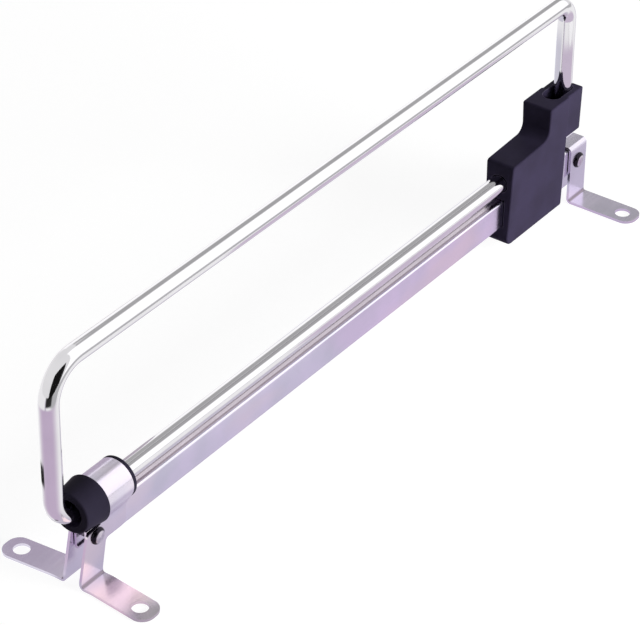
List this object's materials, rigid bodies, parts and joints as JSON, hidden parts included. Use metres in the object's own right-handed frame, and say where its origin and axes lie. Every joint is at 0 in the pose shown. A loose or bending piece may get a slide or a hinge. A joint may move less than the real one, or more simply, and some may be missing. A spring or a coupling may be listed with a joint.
{
  "type": "pull-out clothes rail",
  "caption": "Pull-out clothes rail: a bent chrome hanging loop slides out on a plastic carriage along a folded steel channel held by footed brackets.",
  "frame": {"origin": "middle of the rail's floor box, on the plane of the foot soles", "axes": "+Y along the rail from the nose end to the carriage end, +Z from the foot soles to the hanging loop, +X across the rail to the right"},
  "size_m": [0.0722, 0.3638, 0.1065],
  "materials": {
    "polished_chrome": "polished chrome plate",
    "plated_sheet_steel": "bright plated sheet steel",
    "rivet_steel": "plated steel rivet",
    "zinc_screw_steel": "zinc plated",
    "black_plastic": "moulded satin black"
  },
  "bodies": {
    "fixed_rail": {"rail_channel": "plated_sheet_steel", "front_bracket": "plated_sheet_steel", "rear_bracket": "plated_sheet_steel", "front_rivet_right": "rivet_steel", "front_rivet_left": "rivet_steel", "rear_rivet_right": "rivet_steel", "rear_rivet_left": "rivet_steel", "nose_bush": "black_plastic", "bush_retaining_ring": "black_plastic"},
    "pull_out_loop": {"loop_rod": "polished_chrome", "carriage_block": "black_plastic", "lower_run_screw": "zinc_screw_steel", "rear_leg_screw": "zinc_screw_steel"}
  },
  "joints": [
    {"name": "pull_out", "type": "slide", "parent": "fixed_rail", "child": "pull_out_loop", "axis": [0, -1, 0], "range_m": [0, 0.25]}
  ]
}
